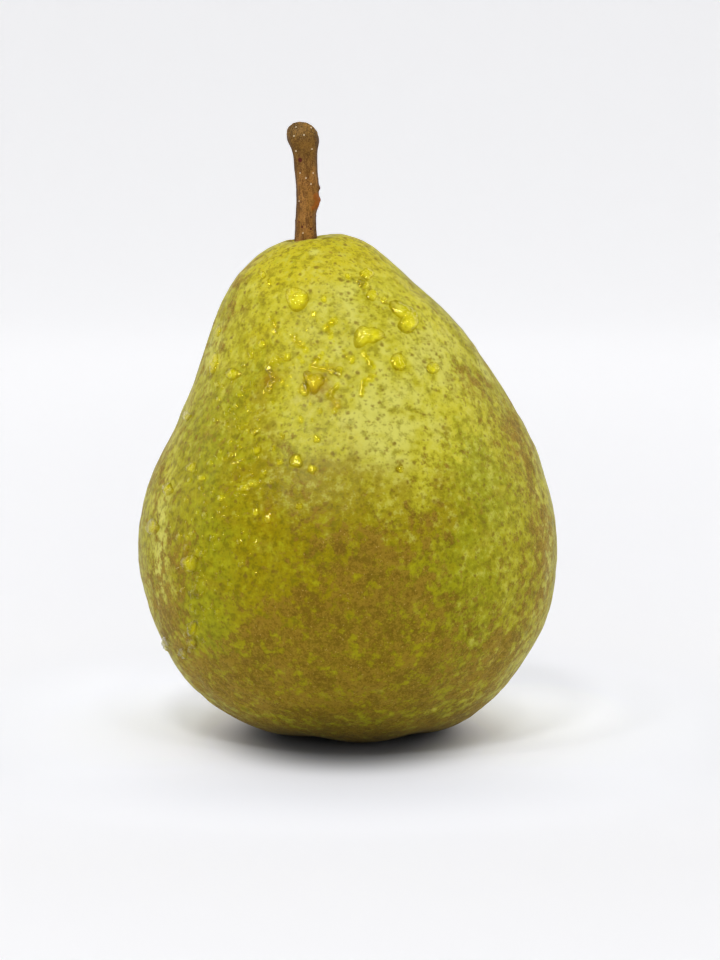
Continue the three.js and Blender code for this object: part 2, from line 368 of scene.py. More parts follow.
# Where the water lies. Its drops are made further down, but the skin under them is painted here, in a
# deeper wet colour with painted light.
# The round drops: a pixel of the photograph, half width and half height in pixels, and turn in degrees.
ROUND_DROPS = [
    (297, 299, 12, 12, 0), (398, 362, 7, 10, -15), (433, 368, 7, 6, 0), (367, 274, 7, 6, 0),
    (361, 283, 3, 4, 0), (372, 295, 6, 6, 0), (339, 371, 4, 6, 10), (332, 372, 4, 3, 0),
    (251, 355, 3, 4, 0), (287, 357, 4, 5, 10), (324, 299, 3, 4, 0), (263, 275, 3, 4, 0),
    (262, 344, 4, 5, 0), (233, 374, 8, 6, 0), (214, 363, 4, 12, 12), (218, 331, 3, 6, 15),
    (187, 416, 4, 5, 0), (296, 461, 7, 7, 0), (312, 469, 5, 5, 0), (280, 462, 4, 4, 0),
    (257, 450, 5, 5, 0), (254, 432, 4, 4, 0), (317, 439, 4, 4, 0), (192, 468, 6, 6, 0),
    (168, 489, 6, 6, 0), (153, 527, 6, 9, 10), (245, 488, 6, 4, 0), (190, 563, 9, 9, 0),
    (231, 455, 4, 4, 0), (237, 462, 3, 3, 0), (221, 498, 4, 4, 0), (202, 478, 4, 4, 0),
    (299, 506, 4, 4, 0), (251, 484, 3, 3, 0), (258, 482, 3, 2, 0), (264, 472, 3, 3, 0),
    (268, 518, 4, 6, 0), (192, 628, 5, 9, 8), (192, 643, 5, 5, 0), (183, 653, 5, 5, 0),
    (165, 644, 5, 7, 0), (400, 469, 4, 4, 0), (304, 390, 5, 7, 0), (348, 276, 3, 3, 0),
    (384, 300, 3, 4, 0), (352, 360, 3, 5, 10), (256, 512, 4, 5, 0), (270, 390, 3, 4, 0),
]
# The lobed drops: a pixel, and how far each reaches in pixels: right, down-right, down, and so on round.
LOBED_DROPS = [
    (407, 319, (11, 13, 15, 13, 6, 25, 13, 11)),
    (368, 335, (17, 11, 8, 18, 14, 12, 7, 10)),
    (314, 381, (11, 9, 14, 8, 9, 14, 6, 10)),
]
# Short wriggling trails of water: the pixels they pass through. Small drops lie close together along them.
TRAILS = [
    [(283, 359), (274, 359), (268, 368), (274, 379), (267, 392)],
    [(293, 336), (298, 345), (308, 351)],
    [(320, 357), (311, 367), (326, 369), (342, 374)],
    [(337, 386), (329, 396), (338, 404), (333, 414)],
    [(373, 376), (363, 383), (361, 397)],
    [(364, 354), (369, 361), (375, 369)],
    [(271, 318), (275, 327), (273, 334)],
    [(334, 321), (326, 328), (332, 337)],
    [(306, 378), (304, 388), (309, 395)],
    [(358, 281), (367, 286)],
]
TRAIL_STEP = 2.6  # pixels between two drops of a trail
TRAIL_DROP = 3.2  # a drop's half width, in pixels, and the shares by which it varies
TRAIL_VARIED = (0.7, 1.25)
TRAIL_WET_AND_PAINTED_LIGHT = 0.8  # how strongly the skin under it takes its deeper wet colour and painted light, and by how much the painted shade on its rim is lighter
SPRAY = 230  # the number of the finest drops, and where they are: a pixel, half width and half height
SPRAY_PATCHES = [
    (235, 470, 34, 40), (215, 540, 34, 45), (198, 600, 14, 38), (240, 410, 26, 34), (300, 360, 40, 50),
]
SPRAY_SPREAD = 0.6  # how widely they scatter, as a share of a patch
SPRAY_DROPS = (1.1, 1.4, 1.8, 2.4, 3.0)  # half widths in pixels, and the shares by which they vary
SPRAY_VARIED = (0.85, 1.15)
# the same share for the finest drops: wet colour and painted light under them, and less painted shade on
# their rims
SPRAY_WET_AND_PAINTED_LIGHT = 0.4
PIXEL = 0.1914 * MM  # the size of a pixel of the photograph on the fruit

chance = random.Random(12)
fine_spots = []
for trail in TRAILS:
    for (x, y), (next_x, next_y) in zip(trail, trail[1:]):
        steps = round(math.hypot(next_x - x, next_y - y) / TRAIL_STEP)
        for step in range(steps):
            share = step / steps
            size = TRAIL_DROP * chance.uniform(*TRAIL_VARIED)
            fine_spots.append((x + share * (next_x - x), y + share * (next_y - y), size, TRAIL_WET_AND_PAINTED_LIGHT))
for number in range(SPRAY):
    x, y, half_width, half_height = SPRAY_PATCHES[number % len(SPRAY_PATCHES)]
    size = chance.choice(SPRAY_DROPS) * chance.uniform(*SPRAY_VARIED)
    across = chance.gauss(x, SPRAY_SPREAD * half_width)
    down = chance.gauss(y, SPRAY_SPREAD * half_height)
    fine_spots.append((across, down, size, SPRAY_WET_AND_PAINTED_LIGHT))

# Patches of the skin's front: a pixel of the photograph, the patch's half width and half height in
# millimetres, and how strong it is. A name says what the patch makes more of, or less where it is negative.
PATCHES = {
    "pale": [
        (345, 300, 12, 10, 0.8), (320, 345, 11, 10, 0.6), (400, 350, 12, 12, 0.8),
        (385, 425, 10, 13, 0.9), (345, 410, 10, 9, 0.6), (430, 400, 10, 12, 0.6), (300, 290, 10, 9, 0.5),
        (420, 320, 8, 8, 0.6), (400, 470, 8, 8, 0.4), (470, 440, 9, 14, 0.35), (300, 420, 8, 6, 0.3),
        (160, 540, 3, 16, 0.3), (340, 585, 16, 10, -0.5), (260, 560, 11, 12, -0.3),
        (400, 500, 12, 10, 0.3), (340, 650, 22, 14, -0.7), (350, 470, 12, 9, 0.3), (290, 430, 9, 9, 0.3),
        (440, 500, 9, 8, -0.2), (190, 520, 8, 11, -0.6), (205, 625, 8, 10, -0.6),
        (215, 540, 10, 12, -0.25), (470, 500, 10, 14, 0.1), (490, 610, 7, 9, 0.5),
        (545, 540, 3, 16, 0.2), (220, 345, 6, 9, 0.25), (320, 345, 6, 6, -0.15),
    ],
    # The white patches are partly the skin's own whitish tone and partly painted sheen: the thin streaks
    # along the left and right edges paint the reflection of the white surround, and those on the pale upper
    # front paint the sheen of the front lights.
    "white": [
        (385, 440, 7, 11, 0.9), (345, 300, 8, 7, 0.5), (430, 345, 8, 9, 0.75), (330, 350, 7, 7, 0.4),
        (400, 400, 8, 9, 0.5), (161, 540, 3.6, 15, 0.95), (215, 345, 5, 9, 0.9), (262, 275, 5, 5, 0.6),
        (315, 252, 1.5, 2.8, 0.9), (548, 540, 2.5, 14, 0.85), (484, 370, 2.5, 9, 0.8),
        (285, 425, 7, 7, 0.4), (340, 270, 9, 6, 0.4), (200, 400, 3, 8, 0.3), (345, 420, 6, 8, 0.3),
    ],
    "yellow": [
        (350, 245, 16, 5, 0.9), (300, 262, 10, 5, 0.8), (400, 265, 8, 6, 0.8), (250, 290, 6, 8, 0.3),
        (420, 300, 6, 10, 0.3), (300, 330, 14, 16, 0.25), (250, 400, 10, 10, 0.2),
        (315, 252, 1.6, 3.0, -0.9),
    ],
    "russet": [
        (365, 580, 8, 8, 0.7), (440, 600, 9, 12, 0.2), (340, 640, 16, 11, 0.8), (300, 660, 12, 9, 0.7),
        (390, 640, 10, 10, 0.7), (345, 690, 22, 7, 0.7), (250, 690, 12, 7, 0.6), (535, 480, 5, 14, 0.4),
        (510, 420, 4, 10, 0.4), (540, 560, 5, 10, 0.5), (175, 560, 5, 8, 0.3), (158, 600, 5, 10, 0.4),
        (200, 670, 8, 8, 0.4), (470, 378, 4, 1.6, 0.6), (270, 420, 5, 4, 0.3), (430, 250, 4, 8, 0.5),
        (460, 300, 3, 9, 0.5), (260, 256, 2.5, 5, 0.5), (262, 290, 5, 7, -0.4), (268, 248, 3, 2, 0.4),
        (455, 285, 2.5, 9, 0.5), (430, 455, 6, 4, 0.3), (420, 520, 5, 8, 0.25), (300, 520, 6, 5, 0.2),
        (470, 690, 9, 9, 0.4), (500, 640, 6, 8, 0.35), (350, 320, 18, 18, -0.7),
        (400, 430, 12, 14, -0.5), (245, 545, 12, 14, -0.3), (465, 560, 10, 16, -0.25),
        (190, 480, 8, 10, -0.2), (300, 400, 12, 10, -0.4), (208, 630, 5, 8, -0.4),
    ],
    "green": [
        (440, 600, 10, 16, 0.3), (480, 560, 8, 14, 0.35), (470, 660, 9, 9, 0.5), (400, 560, 6, 7, 0.5),
        (395, 610, 4, 6, 0.4), (490, 480, 8, 12, 0.4), (205, 612, 6, 12, 0.8), (230, 500, 8, 8, 0.3),
        (215, 440, 8, 10, 0.4), (215, 310, 5, 10, 0.3), (235, 270, 4, 7, 0.3), (290, 256, 4, 5, 0.5),
        (375, 258, 5, 4, 0.4), (300, 600, 8, 4, 0.3), (350, 520, 8, 5, 0.2), (420, 700, 14, 5, 0.3),
        (230, 380, 8, 8, 0.2), (350, 300, 20, 16, -0.5), (390, 420, 12, 14, -0.4),
        (350, 250, 16, 5, -0.2),
    ],
    "gold": [
        (300, 555, 13, 11, 0.7), (340, 520, 14, 10, 0.4), (270, 590, 10, 8, 0.6), (370, 490, 9, 8, 0.25),
        (290, 490, 9, 6, 0.5), (250, 460, 7, 7, 0.3), (230, 330, 5, 8, 0.2), (440, 500, 10, 8, 0.3),
        (265, 400, 6, 6, 0.3), (345, 310, 16, 16, -0.4), (400, 420, 10, 12, -0.4),
    ],
    "stain": [
        (314, 384, 2.4, 2.8, 1.1), (268, 380, 1.6, 2.2, 0.6), (335, 404, 1.6, 2.4, 0.7),
        (268, 516, 1.9, 4.2, 0.7), (333, 368, 2.4, 1.2, 0.5), (275, 378, 1.8, 2.4, 0.5),
        (300, 545, 3.0, 3.0, 0.3), (205, 500, 2.4, 1.6, 0.4), (187, 550, 2.0, 2.0, 0.3),
        (330, 385, 2.0, 2.0, 0.3),
    ],
    "wet": [
        (255, 440, 11, 11, 0.9), (240, 500, 12, 10, 0.9), (250, 570, 10, 10, 0.7),
        (210, 560, 8, 12, 0.5),
    ],
}
# What each layer is where no patch reaches, on the sides and the back, and how much it varies there.
EVEN_SHARE = {
    "pale": (0.20, 0.7), "white": (0.0, 0.2), "yellow": (0.05, 0.5), "russet": (0.36, 0.8),
    "green": (0.35, 0.8), "gold": (0.25, 0.7), "stain": (0.0, 0.0), "wet": (0.0, 0.0),
}
VARIED_SIZE = 13 * MM
VARIED_FRONT = 0.35  # how much of it there is on the front, to which 1 is added towards the back
BACK_STEPS = (-12 * MM, 15 * MM)  # from the front to the back, along Y


def paint_layer(piece, name, values):
    """Keeps one value for each vertex, for the material to read."""
    layer = piece.data.attributes.new(name, "FLOAT", "POINT")
    layer.data.foreach_set("value", values.astype(np.float32))


spots = corners(skin)
behind = smooth(spots[:, 1], *BACK_STEPS)
for seed, (layer_name, patches) in enumerate(PATCHES.items()):
    even, varied = EVEN_SHARE[layer_name]
    amount = even + varied * (VARIED_FRONT + behind) * wander(spots, VARIED_SIZE, 10 + seed)
    for x, y, half_width, half_height, strength in patches:
        middle, _ = spot_on_skin(x, y)
        away = (spots - np.array(middle)) / (np.array((half_width, half_width, half_height)) * MM)
        amount = amount + strength * np.exp(-(away**2).sum(axis=1))
    paint_layer(skin, layer_name, amount)


def under_drop(x, y, inner, outer):
    """1 on the skin within the inner distance of a drop's middle, and 0 past the outer one."""
    middle, _ = spot_on_skin(x, y, AIM)
    distance = np.linalg.norm(spots - np.array(middle), axis=1)
    return 1 - smooth(distance, inner, outer)


# Under each drop the wet skin is painted deeper and brighter: the brightness is painted light for what the
# drop gathers on it.
LEAST_ROUND = 4  # pixels: a smaller round drop still wets a circle of this radius
under = np.zeros(len(spots))
for x, y, half_width, half_height, _ in ROUND_DROPS:
    radius = max(half_width, half_height, LEAST_ROUND) * PIXEL
    under = np.maximum(under, under_drop(x, y, 0.5 * radius, 1.2 * radius))
for x, y, reaches in LOBED_DROPS:
    radius = sum(reaches) / len(reaches) * PIXEL
    under = np.maximum(under, under_drop(x, y, 0.6 * radius, 1.3 * radius))
for x, y, size, depth in fine_spots:
    under = np.maximum(under, depth * under_drop(x, y, 0.5 * size * PIXEL, (size + 2) * PIXEL))
paint_layer(skin, "wet_and_painted_light", under)

# Russet covers the skin round the calyx, and lies thinner in the pit round the stem.
LOW_RUSSET_HEIGHTS = (3 * MM, 15 * MM)
PIT_RUSSET_REACH = (2.5 * MM, 7 * MM)
PIT_RUSSET_HEIGHTS = (85 * MM, 90 * MM)
PIT_RUSSET_SHARE = 0.35
low_russet = 1 - smooth(spots[:, 2], *LOW_RUSSET_HEIGHTS)
near_stem = np.hypot(*(spots[:, :2] - np.array(STEM_FOOT[:2])).T)
pit_russet = (1 - smooth(near_stem, *PIT_RUSSET_REACH)) * smooth(spots[:, 2], *PIT_RUSSET_HEIGHTS)
paint_layer(skin, "ends", np.maximum(low_russet, PIT_RUSSET_SHARE * pit_russet))

PALE = paint(196, 188, 50)
WHITISH = paint(208, 204, 98)
YELLOW = paint(198, 184, 26)
OLIVE = paint(156, 147, 14)
GREEN = paint(143, 145, 16)
GOLD = paint(148, 130, 2)
RUSSET = paint(147, 114, 34)
DARK_RUSSET = paint(110, 80, 16)
STAIN = paint(146, 104, 4)
PORE = paint(114, 98, 10)
LARGE_PORE = paint(118, 92, 24)
FLECK = paint(196, 168, 84)
SHADOWY = paint(118, 108, 8)
LIGHT_GREEN = paint(172, 168, 22)
# The wet skin under the drops: partly its deeper wet colour, partly painted light.
WET_AND_PAINTED_LIGHT = paint(206, 198, 14)


def painted(nodes, name):
    """A value that paint_layer kept for each vertex."""
    return nodes.node("Attribute", {"attribute_name": name}, {}, "Fac")


def noise_at(nodes, place, size, detail, rough, shift):
    """Noise from 0 to 1 with patches of about this size, in metres."""
    moved = nodes.node("VectorMath", {"operation": "ADD"}, {0: place, 1: (shift, shift * 0.7, shift * 1.3)})
    sockets = {"Vector": moved, "Scale": 1 / size, "Detail": detail, "Roughness": rough}
    return nodes.node("TexNoise", {}, sockets)


def dots(nodes, place, spacing, least, most, blur):
    """1 on scattered dots and 0 between. Their radii run from least to most, in shares of the spacing."""
    distance = nodes.node("TexVoronoi", {}, {"Vector": place, "Scale": 1 / spacing}, "Distance")
    random_value = Shade(nodes.tree, distance.socket.node.outputs["Color"])
    radius = random_value * (most - least) + least
    return distance.step(radius + blur, radius - blur)


def skin_material():
    material, nodes = new_material("pear_skin")
    place = nodes.node("TexCoord", {}, {}, "Object")
    layer = {name: painted(nodes, name) for name in [*PATCHES, "ends", "wet_and_painted_light"]}

    broad = noise_at(nodes, place, 7 * MM, 3.0, 0.55, 0.1)
    soft = noise_at(nodes, place, 3.2 * MM, 2.0, 0.5, 0.2)
    island = noise_at(nodes, place, 2.2 * MM, 4.0, 0.66, 0.5)
    fine = noise_at(nodes, place, 0.9 * MM, 3.0, 0.6, 0.3)
    grain = noise_at(nodes, place, 0.32 * MM, 2.0, 0.6, 0.4)

    paleness = (layer["pale"].least(1.0) + (soft - 0.5) * 2.4 + (fine - 0.5) * 1.3).step(-0.2, 1.2)
    colour = paleness.mix(OLIVE, PALE)
    # Partly the skin's whitish tone, partly a painted sheen on its edges and upper front.
    white_tone_and_sheen = (layer["white"] + (broad - 0.5) * 1.6 + (soft - 0.5) * 2.0).step(0.15, 1.1)
    colour = (white_tone_and_sheen * 0.85).mix(colour, WHITISH)
    yellowness = (layer["yellow"] + (broad - 0.5) * 1.6 + (fine - 0.5) * 0.8).step(0.1, 1.0)
    colour = (yellowness * 0.85).mix(colour, YELLOW)
    greenness = (layer["green"] + (island - 0.5) * 2.8 + (fine - 0.5) * 1.2).step(0.3, 0.9)
    colour = (greenness * 0.7).mix(colour, GREEN)
    goldness = (layer["gold"] + (soft - 0.5) * 1.8 + (broad - 0.5) * 1.4).step(0.2, 1.0)
    colour = (goldness * 0.8).mix(colour, GOLD)
    mottle = noise_at(nodes, place, 1.5 * MM, 3.0, 0.6, 0.9) + (grain - 0.5) * 0.25
    strength = paleness * -0.30 + 0.74
    colour = (mottle.step(0.51, 0.33) * strength).mix(colour, SHADOWY)
    light = paleness.mix(LIGHT_GREEN, WHITISH)
    colour = (mottle.step(0.50, 0.69) * strength).mix(colour, light)

    cork = layer["russet"].least(0.9).most(layer["ends"])
    corkiness = (cork + (island - 0.5) * 3.2 + (fine - 0.5) * 1.2).step(0.36, 0.92)
    cork_tone = (fine + (grain - 0.5) * 0.9 + (broad - 0.5) * 0.6).step(0.34, 0.66)
    colour = (corkiness * 0.80).mix(colour, cork_tone.mix(DARK_RUSSET, RUSSET))
    colour = (layer["stain"] + (fine - 0.5) * 0.8).step(0.1, 1.2).mix(colour, STAIN)

    edge = 0.6 * MM  # the pores' edges are ragged by waves of this length, which push them this far
    ragged = nodes.node("TexNoise", {}, {"Vector": place, "Scale": 1 / edge, "Detail": 1.0}, "Color")
    push = nodes.node("VectorMath", {"operation": "SCALE"}, {0: ragged, "Scale": edge})
    pushed = nodes.node("VectorMath", {"operation": "ADD"}, {0: place, 1: push})
    small_pores = dots(nodes, pushed, 0.95 * MM, 0.06, 0.34, 0.18)
    large_pores = dots(nodes, pushed, 1.8 * MM, 0.05, 0.27, 0.12)
    bare = corkiness * -0.55 + 1
    colour = (small_pores * bare * 0.56).mix(colour, PORE)
    colour = (large_pores * bare * 0.72).mix(colour, LARGE_PORE)
    flecks = dots(nodes, pushed, 0.8 * MM, 0.0, 0.22, 0.06)
    colour = (flecks * corkiness * 0.42).mix(colour, FLECK)
    # Under the drops: the wet skin's deeper colour with painted light.
    colour = (layer["wet_and_painted_light"] * 0.5).mix(colour, WET_AND_PAINTED_LIGHT)

    height = fine * 0.9 + grain * 0.3
    bump = nodes.node("Bump", {}, {"Strength": 0.8, "Distance": 0.16 * MM, "Height": height})
    roughness = corkiness * 0.16 + 0.40 - layer["wet"].least(1.0).most(0.0) * 0.16
    sockets = {"Base Color": colour, "Roughness": roughness, "Normal": bump, "IOR": 1.42}
    bloom = {"Sheen Weight": 0.045, "Sheen Roughness": 0.5, "Sheen Tint": (0.92, 0.93, 1.0, 1.0)}
    finish_material(nodes, {**sockets, **bloom, "Specular IOR Level": 0.05})
    return material


skin.data.materials.append(skin_material())
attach(skin, "root")
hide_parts("fruit")

# The stem
# A woody stalk about 4 mm thick, with thin brown bark, pale raised breathing pores and a swollen knob. Its
# top is the brown corky scar where it came off the tree, and its foot sits tight in the fruit's pit.

STEM_FLARE = 0.16  # the share by which the foot widens where it enters the fruit
FLARE_HEIGHTS = (92 * MM, 96.5 * MM)
KNOB_HEIGHTS = (105 * MM, 111 * MM)
FLANK_STEPS = (0.60, 0.97)  # how far sideways the bark faces where the painted shade on its flanks begins and is full
RIDGE_LIFT = 0.09 * MM  # how far each feature stands out of the bark
CRUST_LIFT = 0.10 * MM
SPECK_LIFT = 0.06 * MM
GUM_LIFT = 0.30 * MM
KNOT_LIFT = 0.45 * MM
SPOT_DEPTH = 0.05 * MM  # and how far the dark spots sink in
RIDGE_SIZE = 0.9 * MM
RIDGE_STRETCH = (1, 1, 0.3)  # the ridges run along the stem
SCAR_TOP = 114 * MM  # the scar's edge wavers about here, and goes from bark to crust between the steps
SCAR_STEPS = (-0.8 * MM, 0.4 * MM)
SCAR_WAVER = 0.5 * MM
SCAR_WAVES = 1.2 * MM
CRUST_SIZE = 0.55 * MM
# Marks on the stem's front: a pixel of the photograph, and a radius in millimetres.
SPECK_RADIUS = 0.17
SPECK_PIXELS = [
    (296, 127), (311, 128), (294, 136), (304, 135), (312, 149), (296, 151), (300, 173), (313, 173),
    (306, 178), (311, 184), (299, 201), (303, 233),
]
SPECKS = [(x, y, SPECK_RADIUS) for x, y in SPECK_PIXELS]
DARK_SPOTS = [(300, 160, 0.5), (302, 227, 0.28), (311, 229, 0.25), (299, 222, 0.2), (311, 217, 0.2)]
GUM = [(316, 197, 0.8), (317, 204, 0.9), (313, 208, 0.5), (319, 200, 0.6)]
KNOT = [(318, 188, 0.55), (319, 189, 0.5)]
KNOT_DARK = 0.45
BACK_SPECKS = 60  # specks tried at random all round: those that face forward are left out
BACK_RADII = (0.11, 0.18)
FORWARD = -0.2  # the bark faces forward where its normal's Y is below this

stem = copy_of_node("stem", "stem_wood")
apply_modifier(stem, "SUBSURF", levels=3, render_levels=3)
places = corners(stem)
axis = np.array(STEM_FOOT[:2])
away = places[:, :2] - axis
flare = 1 + STEM_FLARE * (1 - smooth(places[:, 2], *FLARE_HEIGHTS))
places[:, :2] = axis + away * flare[:, None]
set_corners(stem, places)
stem_surface = BVHTree.FromObject(stem, bpy.context.evaluated_depsgraph_get())


def round_mark(spot, radius):
    """How near each vertex is to a spot: 1 on it, and 0 well away. The radius is in millimetres."""
    distance = np.linalg.norm(places - np.array(spot), axis=1)
    return np.exp(-((distance / (radius * MM)) ** 2))


def front_marks(marks):
    """The same for a list of marks on the stem's front."""
    share = np.zeros(len(places))
    for x, y, radius in marks:
        spot, _, _, _ = stem_surface.ray_cast(EYE, sight_line(x, y))
        if spot is not None:
            share = np.maximum(share, round_mark(spot, radius))
    return share


ridges = wander(places * np.array(RIDGE_STRETCH), RIDGE_SIZE, 21)
scar_line = places[:, 2] + SCAR_WAVER * wander(places, SCAR_WAVES, 22)
crust = smooth(scar_line, SCAR_TOP + SCAR_STEPS[0], SCAR_TOP + SCAR_STEPS[1])
rough = wander(places, CRUST_SIZE, 23)
speck = front_marks(SPECKS)
dark = front_marks(DARK_SPOTS)
gum = front_marks(GUM)
knot = front_marks(KNOT)
facing = normals(stem)
chance = random.Random(5)
for index in chance.sample(range(len(places)), BACK_SPECKS):
    if facing[index][1] > FORWARD:
        speck = np.maximum(speck, round_mark(places[index], chance.uniform(*BACK_RADII)))
lift = RIDGE_LIFT * ridges * (1 - 0.5 * crust) + CRUST_LIFT * crust * rough
lift = lift + SPECK_LIFT * speck - SPOT_DEPTH * dark + GUM_LIFT * gum + KNOT_LIFT * knot
set_corners(stem, places + facing * lift[:, None])
paint_layer(stem, "crust", crust)
paint_layer(stem, "speck", speck)
paint_layer(stem, "knob", smooth(places[:, 2], *KNOB_HEIGHTS))
paint_layer(stem, "dark", np.maximum(dark, KNOT_DARK * knot))
# A painted shade on the flanks: 1 where the bark faces fully sideways.
paint_layer(stem, "flank_shade", smooth(np.abs(facing[:, 0]), *FLANK_STEPS))
paint_layer(stem, "gum", gum)
bpy.ops.object.shade_smooth()

DARK_BARK = paint(98, 60, 18)
LIGHT_BARK = paint(168, 118, 52)
OLIVE_BARK = paint(120, 80, 16)
DARK_KNOB = paint(74, 50, 12)
LIGHT_KNOB = paint(120, 88, 30)
# The painted shade on the flanks, a darker, greyer brown.
FLANK_SHADE = paint(58, 44, 30)
GUM_BROWN = paint(144, 78, 6)
DARK_CRUST = paint(54, 36, 6)
LIGHT_CRUST = paint(150, 110, 46)
DARK_SPOT = paint(80, 22, 8)
PALE_SPECK = paint(226, 206, 168)


def bark_material():
    material, nodes = new_material("stem_bark")
    place = nodes.node("TexCoord", {}, {}, "Object")
    drawn = nodes.node("Mapping", {}, {"Vector": place, "Scale": (1, 1, 0.35)})
    streak = noise_at(nodes, drawn, 0.8 * MM, 5.0, 0.65, 0.1)
    mottle = noise_at(nodes, place, 2.2 * MM, 4.0, 0.6, 0.2)
    grain = noise_at(nodes, place, 0.25 * MM, 3.0, 0.65, 0.3)
    crust = painted(nodes, "crust")
    speck = painted(nodes, "speck")
    dark = painted(nodes, "dark")
    gum = painted(nodes, "gum")
    flank_shade = painted(nodes, "flank_shade")
    knob = painted(nodes, "knob")
    colour = (streak + (grain - 0.5) * 0.9).step(0.34, 0.66).mix(DARK_BARK, LIGHT_BARK)
    colour = (mottle.step(0.42, 0.64) * 0.5).mix(colour, OLIVE_BARK)
    knobby = (grain + streak * 0.5).step(0.55, 0.95).mix(DARK_KNOB, LIGHT_KNOB)
    colour = (knob * 0.7).mix(colour, knobby)
    # Painted shade: the bark is painted darker where it faces sideways.
    colour = (flank_shade * 0.62).mix(colour, FLANK_SHADE)
    colour = (gum.step(0.2, 0.6) * 0.85).mix(colour, GUM_BROWN)
    corky = (grain + mottle * 0.5).step(0.55, 0.95).mix(DARK_CRUST, LIGHT_CRUST)
    # The crust is thinner on the flanks, so that their painted shade shows through it.
    colour = (crust * (flank_shade * -0.35 + 1)).mix(colour, corky)
    colour = dark.step(0.2, 0.7).mix(colour, DARK_SPOT)
    colour = speck.step(0.25, 0.75).mix(colour, PALE_SPECK)
    height = streak * 0.5 + grain * 0.7
    bump = nodes.node("Bump", {}, {"Strength": 0.7, "Distance": 0.18 * MM, "Height": height})
    sockets = {"Base Color": colour, "Roughness": 0.6, "Normal": bump, "Specular IOR Level": 0.12}
    finish_material(nodes, sockets)
    return material


stem.data.materials.append(bark_material())
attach(stem, "root")
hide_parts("stem")

# The calyx
# What is left of the flower: five dry, pointed sepals on a short tube in the basin underneath, with a tuft
# of withered stamens in the middle.

HUSK_LIFT = 0.10 * MM  # how far the dry sepals are roughened, and the size of their lumps
HUSK_SIZE = 0.9 * MM
STAMENS = 18
STAMEN_RADIUS = 0.13 * MM
STAMEN_TIP = 0.7  # a thread's tip, as a share of its root
STAMEN_LENGTH = 3.6 * MM
STAMEN_VARIED = (0.75, 1.05)
STAMEN_ROOT = 6.4 * MM  # the height they hang from, inside the tube
STAMEN_TURN = 0.15  # radians, either way
STAMEN_SPREAD = (0.2, 1.5)  # in millimetres: how far the tips stand off the middle, and how far they curl
STAMEN_CURL = (0.2, 0.9)
DARK_HUSK = paint(42, 28, 16)
LIGHT_HUSK = paint(104, 78, 48)

calyx = copy_of_node("calyx", "calyx_sepals")
apply_modifier(calyx, "SUBSURF", levels=2, render_levels=2)
places = corners(calyx)
set_corners(calyx, places + normals(calyx) * (HUSK_LIFT * wander(places, HUSK_SIZE, 31))[:, None])
bpy.ops.object.shade_smooth()


def moved_copy(piece, name, places):
    """A new object with its own copy of a piece's mesh, with its vertices at these places."""
    made = bpy.data.objects.new(name, piece.data.copy())
    bpy.context.scene.collection.objects.link(made)
    set_corners(made, places)
    return made


def joined(pieces, name):
    """All these objects as one, in the first of them."""
    bpy.ops.object.select_all(action="DESELECT")
    for piece in pieces:
        piece.select_set(True)
    bpy.context.view_layer.objects.active = pieces[0]
    bpy.ops.object.join()
    pieces[0].name = name
    bpy.ops.object.shade_smooth()
    return pieces[0]


bpy.ops.mesh.primitive_cone_add(
    vertices=6, radius1=STAMEN_RADIUS, radius2=STAMEN_TIP * STAMEN_RADIUS, depth=1.0)
stamen = bpy.context.object
apply_modifier(stamen, "SUBSURF", levels=2, render_levels=2, subdivision_type="SIMPLE")
thread = corners(stamen)
down = 0.5 - thread[:, 2]
chance = random.Random(8)
stamens = []
for number in range(STAMENS):
    turn = math.tau * number / STAMENS + chance.uniform(-STAMEN_TURN, STAMEN_TURN)
    spread = chance.uniform(*STAMEN_SPREAD) * MM
    curl = chance.uniform(*STAMEN_CURL) * MM
    length = STAMEN_LENGTH * chance.uniform(*STAMEN_VARIED)
    across = spread * (0.5 + 0.5 * down) + curl * np.sin(math.pi * down)
    bent = np.empty_like(thread)
    bent[:, 0] = CALYX_MIDDLE[0] + thread[:, 0] + across * math.cos(turn)
    bent[:, 1] = CALYX_MIDDLE[1] + thread[:, 1] + across * math.sin(turn)
    bent[:, 2] = STAMEN_ROOT - length * down
    stamens.append(moved_copy(stamen, "stamen", bent))
bpy.data.objects.remove(stamen)
calyx = joined([calyx, *stamens], "calyx_sepals")


def husk_material():
    material, nodes = new_material("dry_husk")
    place = nodes.node("TexCoord", {}, {}, "Object")
    fibre = noise_at(nodes, place, 0.5 * MM, 4.0, 0.65, 0.1)
    colour = fibre.step(0.3, 0.7).mix(DARK_HUSK, LIGHT_HUSK)
    bump = nodes.node("Bump", {}, {"Strength": 0.7, "Distance": 0.15 * MM, "Height": fibre})
    finish_material(nodes, {"Base Color": colour, "Roughness": 0.85, "Normal": bump})
    return material


calyx.data.materials.append(husk_material())
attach(calyx, "root")
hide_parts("calyx")

# The water drops
# Clean water that was sprayed on the fruit: a few large drops that ran together, many round ones, short
# trails, and a fine spray on the left. Each drop lies on the skin, thickest near its lower side, where its
# own weight draws it.

DOME = 0.50  # how high a drop stands, as a share of its half width
DOME_POWER = 1.2  # over 1, its top is more pointed than half a ball
SAG = 0.30  # how much thicker its lower side is
SUNK = 0.12 * MM  # how far its underside lies below its edge
SUNK_EDGE = 0.3  # and the share of that by which the edge lies below the skin
RIPPLE = 0.12  # how uneven its outline is
QUIVER = 0.55  # how uneven its top is, as a share of its height, and how long its waves are
QUIVER_SIZE = 0.7 * MM
RIM_STEPS = (0.62, 0.95)  # where the painted shade on its rim begins and is full, as shares of its half width
FINE_HEIGHTS = (0.9, 1.4)  # a fine drop's half height, as a share of its half width
FINE_RIPPLE = 0.2


def reach_at(turns, reaches):
    """How far an outline reaches each way, eased between the lengths that are given evenly round it."""
    spots = (turns / math.tau) % 1.0 * len(reaches)
    first = spots.astype(int) % len(reaches)
    share = spots - np.floor(spots)
    share = share * share * (3 - 2 * share)
    reaches = np.array(reaches, float)
    return reaches[first] * (1 - share) + reaches[(first + 1) % len(reaches)] * share


